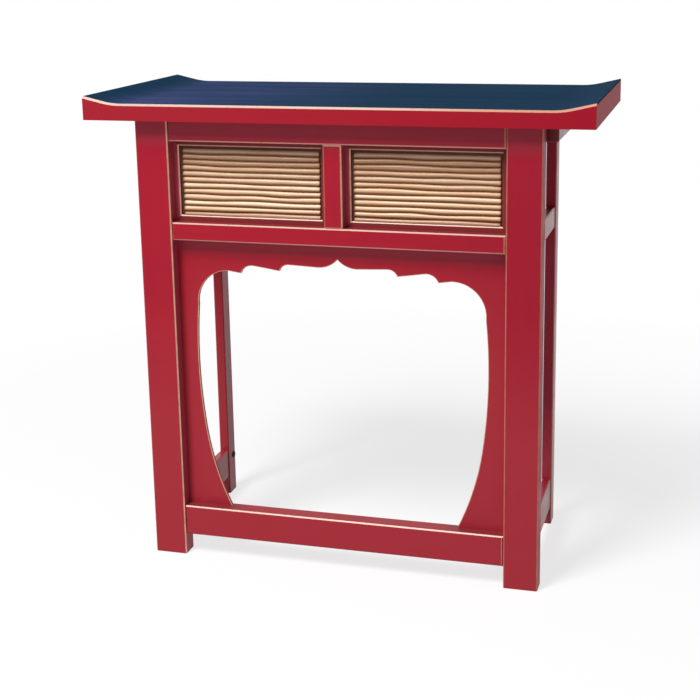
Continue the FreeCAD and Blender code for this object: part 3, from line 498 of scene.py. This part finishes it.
def arch_gilding():
    """Gold paint on the arch bevel, with less of it where the bevel faces down or left."""
    recipe = Recipe("arch_gilding")
    red, _ = red_colour(recipe, "x")
    grain = recipe.noise(ARCH_GRAIN_SCALE)
    across, _, up = recipe.parts("Normal")
    kept = recipe.calc("MULTIPLY", recipe.spread(up, *ARCH_DOWNWARD, ARCH_DOWNWARD_GOLD),
                       recipe.spread(across, *ARCH_LEFTWARD, ARCH_LEFTWARD_GOLD))
    return recipe.finish(Base_Color=recipe.mix(kept, red, gold_colour(recipe)),
                         Roughness=recipe.spread(grain, *NOISE_RANGE, *ARCH_ROUGH),
                         Metallic=gilt_metal(recipe, kept), Specular_IOR_Level=SPECULAR,
                         Normal=recipe.bump(grain, *ARCH_BUMP))


# Skin of the reeds: fibres and patches along them, and how far each browns the straw
REED_FIBRES = (9, 900, 900)
REED_FIBRE_DETAIL = 5.0
REED_FIBRE_ROUGH = 0.65
REED_FIBRE_BROWN = 0.4
REED_PATCHES = (22, 70, 70)
REED_PATCH_BROWN = 0.5
REED_BROWN_RANGE = (0.5, 0.8)
# Values of the groove between which brown comes to cover the reed, and how much: glaze in the grooves, and
# painted shade on the lower half of each reed
REED_SHADE_GLAZE_RANGE = (-0.12, 0.45)
REED_SHADE_GLAZE_MOST = 0.94
# Roughness, relief and specular level
REED_ROUGH_RANGE = (0.3, 0.75)
REED_ROUGH = (0.28, 0.44)
REED_BUMP = (0.12, 0.15 * MM)
REED_SPECULAR = 0.5


def reed_skin():
    """Reeds: straw with lengthwise fibres, each reed in its own tone, brown glaze in the grooves and painted
    shade on their lower halves.
    """
    recipe = Recipe("gold_reed_skin")
    fibre = recipe.noise(REED_FIBRES, REED_FIBRE_DETAIL, REED_FIBRE_ROUGH)
    patch = recipe.noise(REED_PATCHES)
    glaze_and_shade = recipe.spread(recipe.attribute("groove"), *REED_SHADE_GLAZE_RANGE, 0.0, REED_SHADE_GLAZE_MOST)
    colour = recipe.mix(recipe.attribute("tone"), STRAW, STRAW_PALE)
    colour = recipe.mix(recipe.spread(patch, *REED_BROWN_RANGE, 0.0, REED_PATCH_BROWN), colour, STRAW_BROWN)
    colour = recipe.mix(recipe.spread(fibre, *REED_BROWN_RANGE, 0.0, REED_FIBRE_BROWN), colour, STRAW_BROWN)
    return recipe.finish(Base_Color=recipe.mix(glaze_and_shade, colour, GROOVE_BROWN),
                         Roughness=recipe.spread(fibre, *REED_ROUGH_RANGE, *REED_ROUGH),
                         Specular_IOR_Level=REED_SPECULAR, Normal=recipe.bump(fibre, *REED_BUMP))


# Plain wood: rings, pores that are so many times finer, roughness and relief
TIMBER_RING_DETAIL = 6.0
TIMBER_RING_ROUGH = 0.62
TIMBER_RING_RANGE = (0.35, 0.7)
TIMBER_PORES = 3
TIMBER_PORE_RELIEF = 0.4
TIMBER_ROUGH = (0.47, 0.67)
TIMBER_BUMP = (0.12, 0.2 * MM)
TIMBER_SPECULAR = 0.35


def timber(name, pale, dark, axis):
    """Plain wood with grain along one axis."""
    recipe = Recipe(name)
    rings = recipe.noise(GRAINS[axis], TIMBER_RING_DETAIL, TIMBER_RING_ROUGH)
    pores = recipe.noise(tuple(TIMBER_PORES * size for size in GRAINS[axis]))
    relief = recipe.calc("ADD", rings, recipe.calc("MULTIPLY", pores, TIMBER_PORE_RELIEF))
    return recipe.finish(Base_Color=recipe.mix(recipe.spread(rings, *TIMBER_RING_RANGE), pale, dark),
                         Roughness=recipe.spread(pores, *NOISE_RANGE, *TIMBER_ROUGH),
                         Specular_IOR_Level=TIMBER_SPECULAR, Normal=recipe.bump(relief, *TIMBER_BUMP))


# Brass: brushed lines, tarnish and rubbed edges
BRUSHED_LINES = (1500, 1500, 60)
BRUSHED_DETAIL = 4.0
BRUSHED_BUMP = (0.06, 0.1 * MM)
TARNISH_SCALE = 95.0
TARNISH_DETAIL = 5.0
TARNISH_RANGE = (0.48, 0.74)
TARNISH_ROUGH_RANGE = (0.35, 0.75)
TARNISH_ROUGH = (0.24, 0.46)
BRASS_ROUNDING = 0.3 * MM
BRASS_RUBBED_SHARE = 0.6


def brass():
    """Satin brass with brushed lines, brown tarnish in patches and bright rubbed edges."""
    recipe = Recipe("satin_brass")
    brushed = recipe.noise(BRUSHED_LINES, BRUSHED_DETAIL)
    tarnish = recipe.noise(TARNISH_SCALE, TARNISH_DETAIL)
    rounded, edge = recipe.rounded_edges(BRASS_ROUNDING)
    colour = recipe.mix(recipe.spread(tarnish, *TARNISH_RANGE), BRASS, BRASS_TARNISHED)
    colour = recipe.mix(recipe.calc("MULTIPLY", edge, BRASS_RUBBED_SHARE), colour, BRASS_RUBBED)
    return recipe.finish(Base_Color=colour, Metallic=1.0,
                         Roughness=recipe.spread(tarnish, *TARNISH_ROUGH_RANGE, *TARNISH_ROUGH),
                         Normal=recipe.bump(brushed, *BRUSHED_BUMP, rounded))


# Rubber: moulded grain and dust
MOULDED_SCALE = 1400.0
MOULDED_BUMP = (0.2, 0.08 * MM)
DUST_SCALE = 140.0
DUST_DETAIL = 4.0
DUST_RANGE = (0.5, 0.8)
RUBBER_ROUGH = (0.62, 0.82)
RUBBER_SPECULAR = 0.2


def rubber():
    """Matte black rubber with a fine moulded grain and dusty patches."""
    recipe = Recipe("moulded_rubber")
    grain = recipe.noise(MOULDED_SCALE)
    dust = recipe.noise(DUST_SCALE, DUST_DETAIL)
    return recipe.finish(Base_Color=recipe.mix(recipe.spread(dust, *DUST_RANGE), RUBBER, RUBBER_DUSTY),
                         Roughness=recipe.spread(dust, *NOISE_RANGE, *RUBBER_ROUGH),
                         Specular_IOR_Level=RUBBER_SPECULAR, Normal=recipe.bump(grain, *MOULDED_BUMP))


def wear(node, material):
    """Give a CAD node its material."""
    shape = nodes[node].data
    shape.materials.clear()
    shape.materials.append(material)


def new_piece(name, build, body, materials, stands_for):
    """Make a piece in mesh code that stands for a CAD node and rides on its body."""
    work = bmesh.new()
    build(work)
    bmesh.ops.recalc_face_normals(work, faces=work.faces)
    shape = bpy.data.meshes.new(name)
    work.to_mesh(shape)
    work.free()
    for material in materials:
        shape.materials.append(material)
    piece = bpy.data.objects.new(name, shape)
    bpy.context.scene.collection.objects.link(piece)
    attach(piece, body)
    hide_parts(stands_for)


# The arch board, with a gilded bevel round its front cut edge
ARCH_BEVEL = 1.1 * MM
ARCH_BEVEL_STEPS = 3
ARCH_BEVEL_PROFILE = 0.55
# Its cut edge is looked for this far inside the legs, below the rail and down into the stretcher
ARCH_MARGIN = 4 * MM
# Faces that meet at less than the first angle are one, and a cut edge is sharper than the second
ARCH_FLAT = math.radians(0.5)
ARCH_SHARP = 1.0
# Place of the gilding in the list of the board's materials
ARCH_GILDED = 1


def build_arch(work):
    """Copy the board, join its flat faces and bevel the front edge of the cut-out."""
    work.from_mesh(nodes["arch_board"].data)
    bmesh.ops.remove_doubles(work, verts=work.verts, dist=SAME_PLACE)
    bmesh.ops.dissolve_limit(work, angle_limit=ARCH_FLAT, verts=work.verts, edges=work.edges)
    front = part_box("arch_board")[0].y
    widest = LEG_INNER_FACE - ARCH_MARGIN
    highest = RAIL_UNDERSIDE - ARCH_MARGIN
    lowest = STRETCHER_TOP - ARCH_MARGIN
    cut = []
    for edge in work.edges:
        middle = (edge.verts[0].co + edge.verts[1].co) / 2
        in_front = all(abs(vertex.co.y - front) < SAME_PLACE for vertex in edge.verts)
        in_opening = abs(middle.x) < widest and lowest < middle.z < highest
        if in_front and in_opening and edge.calc_face_angle() > ARCH_SHARP:
            cut.append(edge)
    made = bmesh.ops.bevel(work, geom=cut, offset=ARCH_BEVEL, segments=ARCH_BEVEL_STEPS,
                           profile=ARCH_BEVEL_PROFILE, affect="EDGES", clamp_overlap=False)
    for face in made["faces"]:
        face.material_index = ARCH_GILDED


# Reeds: how many a panel, steps round one and along its body, and its radius as a share of its room
REED_COUNT = 12
REED_ARC = 16
REED_STEPS = 56
REED_RADIUS = 0.48
# Where the body lies along a reed, and the lip at each end (share of the length, share of the thickness)
REED_BODY = (0.02, 0.98)
REED_LIP = ((0.0, 0.78), (0.003, 0.92), (0.008, 0.985))
# Seeds of the draws
REED_SEEDS = {"left": 11, "right": 23}
# Waves of the seams between them: how many add up, how often each fits along a panel, how high, in reeds
REED_WAVES = 3
REED_WAVE_RATE = (0.3, 2.4)
REED_WAVE_SIZE = (0.015, 0.06)
# How pale they are: range of the draw on each panel, dulled in the upper rows as painted shade, and the tone
# of the topmost row, set paler as painted light
REED_TONES = {"left": (0.15, 1.0), "right": (0.0, 0.6)}
REED_SHADED_ROWS = 4
REED_SHADED = 0.2
REED_TOP_TONE = 0.75
# The reeds lie this share of a reed low, so that the lowest is cut by the bar and a gap is left at the top
REED_DROP = 0.42
# How far their ends lie from the sides of the panel, and what is added beside the left ends
REED_INSET = (1.6 * MM, 2.6 * MM)
REED_LEFT_GAP = {"left": 2.6 * MM, "right": 1.6 * MM}
# Brown, as values of the groove: none, full, and the least of it on some rows, counted from below, painted
# shade that darkens those rows
NO_BROWN = -1.0
FULL_BROWN = 1.0
REED_ROW_SHADES = {0: 0.27, 7: 0.0, 9: 0.12, 10: 0.12}
# Painted shadow of the left bar on the left ends of the reeds, and the share of the length over which it
# falls by 1
REED_LEFT_SHADOW = 0.45
REED_LEFT_SHADOW_LENGTH = 0.035


def reed_shares():
    """Places along a reed, as shares of its length, each with its share of the full thickness."""
    first, last = REED_BODY
    body = [(first + (last - first) * step / REED_STEPS, 1.0) for step in range(REED_STEPS + 1)]
    return list(REED_LIP) + body + [(1 - share, size) for share, size in reversed(REED_LIP)]


def reed_seam(draw, number, low, pitch):
    """Height of one seam, as a function of the share along the panel. The outer two are straight."""
    waves = []
    for _ in range(REED_WAVES):
        rate = draw.uniform(*REED_WAVE_RATE)
        turn = draw.uniform(0, math.tau)
        waves.append((rate, turn, draw.uniform(*REED_WAVE_SIZE)))
    sway = 1 if 0 < number < REED_COUNT else 0

    def height(share):
        wave = sum(size * math.sin(rate * math.tau * share + turn) for rate, turn, size in waves)
        return low + pitch * (number + sway * wave)

    return height


def reed_tone(row, drawn):
    """How pale a reed is: the upper rows dulled as painted shade, the topmost row set paler as painted
    light.
    """
    if row == REED_COUNT - 1:
        return REED_TOP_TONE
    return drawn * REED_SHADED if row >= REED_COUNT - REED_SHADED_ROWS else drawn


def skin_reed(work, rings):
    """Join the half rings of a reed, with a flat back and flat ends."""
    for before, after in zip(rings, rings[1:]):
        for spoke in range(REED_ARC):
            face = work.faces.new((before[spoke], after[spoke], after[spoke + 1], before[spoke + 1]))
            face.smooth = True
        work.faces.new((before[0], before[-1], after[-1], after[0]))
    work.faces.new(rings[0])
    work.faces.new(rings[-1])


def build_reeds(panel):
    """Twelve irregular half-round reeds that lie on the backing of one panel."""
    low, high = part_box("reeds_" + panel)
    pitch = (high.z - low.z) / REED_COUNT
    thickest = high.y - low.y

    def build(work):
        draw = random.Random(REED_SEEDS[panel])
        tone = work.verts.layers.float.new("tone")
        groove = work.verts.layers.float.new("groove")

        def half_ring(along, centre, radius, glaze_and_shade, own_tone):
            """Points round a reed, level where the lower bar cuts it."""
            depth = min(radius, thickest)
            ring = []
            for spoke in range(REED_ARC + 1):
                angle = math.pi * (spoke / REED_ARC - 0.5)
                level = centre + radius * math.sin(angle)
                vertex = work.verts.new((along, high.y - depth * math.cos(angle), max(low.z, level)))
                vertex[tone] = own_tone
                vertex[groove] = FULL_BROWN if level < low.z else max(glaze_and_shade, -math.sin(angle))
                ring.append(vertex)
            return ring

        lowest = low.z - REED_DROP * pitch
        seams = [reed_seam(draw, number, lowest, pitch) for number in range(REED_COUNT + 1)]
        for row, (below, above) in enumerate(zip(seams, seams[1:])):
            start = low.x + REED_LEFT_GAP[panel] + draw.uniform(*REED_INSET)
            end = high.x - draw.uniform(*REED_INSET)
            own_tone = reed_tone(row, draw.uniform(*REED_TONES[panel]))
            rings = []
            for share, lip in reed_shares():
                centre = (below(share) + above(share)) / 2
                radius = REED_RADIUS * (above(share) - below(share)) * lip
                glaze_and_shade = max(REED_LEFT_SHADOW - share / REED_LEFT_SHADOW_LENGTH, REED_ROW_SHADES.get(row, NO_BROWN))
                rings.append(half_ring(start + share * (end - start), centre, radius, glaze_and_shade, own_tone))
            skin_reed(work, rings)

    return build


# Screws with slotted heads, in shares of the head's radius: slot, and outline of the head (reach, depth)
SCREW_SIDES = 32
SLOT_HALF = 0.15
SLOT_DEPTH = 0.3
SCREW_HEAD = ((0.9, 0.0), (1.0, -0.06), (1.0, -0.14))
# Their countersink and shank, in the same shares
SCREW_SINK = 0.6
SCREW_SHANK = 0.5
# Start of the point as a share of the length, and its tip as a share of the shank
SCREW_POINT = 0.85
SCREW_TIP = 0.15


def islands(node):
    """The lowest and highest corner of each separate solid in a CAD node."""
    work = bmesh.new()
    work.from_mesh(nodes[node].data)
    bmesh.ops.remove_doubles(work, verts=work.verts, dist=SAME_PLACE)
    waiting = set(work.verts)
    found = []
    while waiting:
        island = set()
        rim = {waiting.pop()}
        while rim:
            island |= rim
            beside = {edge.other_vert(vertex) for vertex in rim for edge in vertex.link_edges}
            rim = beside & waiting
            waiting -= rim
        corners = []
        for pick in (min, max):
            corners.append(Vector([pick(vertex.co[axis] for vertex in island) for axis in (X, Y, Z)]))
        found.append(corners)
    work.free()
    return sorted(found, key=lambda corners: tuple(corners[0]))


def add_screw(work, place, out, radius, length, turn):
    """A countersunk screw whose head lies at a place and faces out, with its slot turned."""
    half_slot = math.asin(SLOT_HALF / SCREW_HEAD[0][0])
    steps = SCREW_SIDES // 2
    arc = [half_slot + (math.pi - 2 * half_slot) * step / steps for step in range(steps + 1)]
    angles = arc + [angle + math.pi for angle in arc]
    shank = SCREW_SHANK * radius
    profile = [(share * radius, depth * radius) for share, depth in SCREW_HEAD]
    profile += [(shank, -SCREW_SINK * radius), (shank, -SCREW_POINT * length), (SCREW_TIP * shank, -length)]
    facing = Vector(out).to_track_quat("Z", "Y").to_matrix().to_4x4()
    move = Matrix.Translation(place) @ facing @ Matrix.Rotation(turn, 4, "Z")

    def point(reach, angle, depth):
        return work.verts.new(move @ Vector((reach * math.cos(angle), reach * math.sin(angle), depth)))

    rings = [[point(reach, angle, depth) for angle in angles] for reach, depth in profile]
    count = len(angles)
    for upper, lower in zip(rings, rings[1:]):
        for side in range(count):
            after = (side + 1) % count
            work.faces.new((upper[side], lower[side], lower[after], upper[after])).smooth = True
    work.faces.new(rings[-1])
    top, half = rings[0], count // 2
    corners = [top[0], top[half - 1], top[half], top[-1]]
    ends = [angles[0], angles[half - 1], angles[half], angles[-1]]
    sunk = [point(profile[0][0], angle, -SLOT_DEPTH * radius) for angle in ends]
    work.faces.new(top[:half])
    work.faces.new(top[half:])
    work.faces.new(sunk)
    for side in range(len(corners)):
        after = (side + 1) % len(corners)
        work.faces.new((corners[side], corners[after], sunk[after], sunk[side]))


def build_screws(node, out):
    """Slotted screws in the places of a CAD group of screws, heads facing out."""
    axis = max((X, Y, Z), key=lambda number: abs(out[number]))
    seed = sum(ord(letter) for letter in node)

    def build(work):
        draw = random.Random(seed)
        for low, high in islands(node):
            place = (low + high) / 2
            place[axis] = high[axis] if out[axis] > 0 else low[axis]
            radius = (high[axis - 1] - low[axis - 1]) / 2
            add_screw(work, place, out, radius, high[axis] - low[axis], draw.uniform(0, math.pi))

    return build


# Floor, world, lamp and camera
def seen_rays(tree):
    """1 for rays that see the background: camera, glossy and transmission rays."""
    path = tree.nodes.new("ShaderNodeLightPath")
    seen = path.outputs["Is Camera Ray"]
    for name in ("Is Glossy Ray", "Is Transmission Ray"):
        either = tree.nodes.new("ShaderNodeMath")
        either.operation = "MAXIMUM"
        tree.links.new(seen, either.inputs[0])
        tree.links.new(path.outputs[name], either.inputs[1])
        seen = either.outputs[0]
    return seen


def make_world():
    """White to the eye and in reflections, a dim even light otherwise."""
    world = bpy.data.worlds.new("studio")
    bpy.context.scene.world = world
    world.use_nodes = True
    tree = world.node_tree
    background = tree.nodes["Background"]
    background.inputs["Color"].default_value = WHITE
    strength = tree.nodes.new("ShaderNodeMapRange")
    strength.inputs["To Min"].default_value = AMBIENT
    tree.links.new(seen_rays(tree), strength.inputs["Value"])
    tree.links.new(strength.outputs[0], background.inputs["Strength"])


def floor_paint():
    """Pale, white to the eye away from the table, with less glow near it so that its shadow stays."""
    recipe = Recipe("pale_floor")
    seen = seen_rays(recipe.tree)
    paleness = recipe.spread(seen, 0.0, 1.0, FLOOR_BOUNCE, FLOOR_WHITE)
    recipe.finish(Base_Color=paleness, Roughness=FLOOR_ROUGH, Specular_IOR_Level=0.0)
    own = recipe.node("ShaderNodeTexCoord", {}).outputs["Object"]
    away = recipe.node("ShaderNodeVectorMath", {0: own}, operation="LENGTH").outputs["Value"]
    glow = recipe.calc("MULTIPLY", seen, recipe.spread(away, *FLOOR_GLOW_REACH, FLOOR_GLOW_NEAR))
    white = recipe.node("ShaderNodeEmission", {}).outputs[0]
    blend = recipe.node("ShaderNodeMixShader", {0: glow, 1: recipe.surface.outputs[0], 2: white})
    recipe.feed(recipe.tree.nodes["Material Output"].inputs["Surface"], blend.outputs[0])
    return recipe.material


def make_floor():
    """A wide round floor that keeps a soft shadow round the table."""
    work = bmesh.new()
    bmesh.ops.create_circle(work, cap_ends=True, radius=FLOOR_RADIUS, segments=FLOOR_SIDES)
    shape = bpy.data.meshes.new("floor")
    work.to_mesh(shape)
    work.free()
    shape.materials.append(floor_paint())
    floor = bpy.data.objects.new("floor", shape)
    bpy.context.scene.collection.objects.link(floor)
    floor.location.z = -FLOOR_DROP


def make_lamp():
    """The soft lamp, taller than wide."""
    lamp = bpy.data.lights.new("key_light", "AREA")
    lamp.shape = "RECTANGLE"
    lamp.size, lamp.size_y = LAMP_SIZE
    lamp.energy = LAMP_WATTS
    level = math.cos(LAMP_HEIGHT)
    sideways = -level * math.sin(LAMP_LEFTWARD)
    frontward = -level * math.cos(LAMP_LEFTWARD)
    away = Vector((sideways, frontward, math.sin(LAMP_HEIGHT)))
    lit = bpy.data.objects.new("key_light", lamp)
    lit.location = LAMP_AIM + LAMP_DISTANCE * away
    lit.rotation_euler = (-away).to_track_quat("-Z", "Y").to_euler()
    bpy.context.scene.collection.objects.link(lit)


def make_camera():
    """The photograph's camera."""
    lens = bpy.data.cameras.new("camera")
    lens.sensor_width = CAMERA_SENSOR
    lens.lens = CAMERA_LENS
    lens.shift_x, lens.shift_y = CAMERA_SHIFT
    camera = bpy.data.objects.new("camera", lens)
    camera.location = CAMERA_PLACE
    camera.rotation_euler = [math.radians(angle) for angle in CAMERA_TURN]
    bpy.context.scene.collection.objects.link(camera)
    bpy.context.scene.camera = camera


make_camera()
make_world()
make_floor()
make_lamp()
bpy.context.scene.view_settings.view_transform = "Standard"

# Materials of the CAD nodes
rail = lacquer("red_lacquer_rail", "x", "frame", ledge=LEDGE_OF_RAIL)
stretcher = lacquer("red_lacquer_stretcher", "x", "stretcher", ledge=LEDGE_OF_STRETCHER)
post = lacquer("red_lacquer_post", "z", "frame", cheek=CHEEK_RIGHT)
# Painted shade: a darker red on the bars in the recess and on the battens under the top, and plum on the
# left-hand bars
bar_level = lacquer("red_lacquer_bar_level", "x", "bar", RED_SHADE_DARK)
bar_left_hand = lacquer("red_lacquer_bar_left_hand", "z", "bar", RED_SHADE_PLUM)
bar_right_hand = lacquer("red_lacquer_bar_right_hand", "z", shade_tint=RED_SHADE_DARK)
board = lacquer("red_lacquer_board", "x", shade=SHADE_OF_RAIL, low_light=LOW_LIGHT_BOARD)
batten = lacquer("red_lacquer_batten", "y", shade_tint=RED_SHADE_DARK, sheen=GLOSSY)
side_rail = lacquer("red_lacquer_y", "y", sheen=GLOSSY, specular=SPECULAR_RAILS)
top = top_lacquer()
fittings = brass()
black = rubber()
beech = timber("bare_wood_grain", BEECH, BEECH_DARK, "z")
stain = timber("stained_backing", STAIN, STAIN_DARK, "x")
right_hand_bars = ("reed_frame_left_inner", "reed_frame_right_outer")

wear("front_top_rail", rail)
wear("front_middle_rail", rail)
wear("front_bottom_stretcher", stretcher)
wear("centre_post", post)
wear("top_locating_dowels", beech)
wear("top_board", top)
for side in ("left", "right"):
    leg_cheek, upright_cheek = (CHEEK_RIGHT, None) if side == "left" else (None, CHEEK_FRONT)
    wear("front_leg_" + side, lacquer("red_lacquer_leg_" + side, "z", "leg_" + side, cheek=leg_cheek))
    upright = lacquer("red_lacquer_side_" + side, "z", "side_" + side, cheek=upright_cheek, sheen=GLOSSY)
    wear("rear_leg_" + side, upright)
    wear("side_%s_stile" % side, upright)
    wear("reed_backing_" + side, stain)
    wear("fold_stop_" + side, black)
    wear("top_batten_" + side, batten)
    wear("top_end_" + side, top)
    for level in ("top", "middle", "bottom"):
        wear("side_%s_%s_rail" % (side, level), side_rail)
    for bar in ("bottom", "top"):
        wear("reed_frame_%s_%s" % (side, bar), bar_level)
    for bar in ("inner", "outer"):
        node = "reed_frame_%s_%s" % (side, bar)
        wear(node, bar_right_hand if node in right_hand_bars else bar_left_hand)
    for level in ("upper", "lower"):
        for leaf in ("leg_leaf", "side_leaf", "pin"):
            wear("hinge_%s_%s_%s" % (level, side, leaf), fittings)

# Pieces made here
new_piece("arch_panel", build_arch, "front_frame", [board, arch_gilding()], "arch_board")
reed = reed_skin()
for side, inward in (("left", 1), ("right", -1)):
    new_piece("reed_mat_" + side, build_reeds(side), "front_frame", [reed], "reeds_" + side)
    for group, out, body in (("hinge_leg_screws", (0, 1, 0), "front_frame"),
                             ("hinge_side_screws", (inward, 0, 0), side + "_side_frame"),
                             ("batten_screws", (0, 0, -1), "table_top")):
        node = "%s_%s" % (group, side)
        new_piece("slotted_" + node, build_screws(node, out), body, [fittings], node)
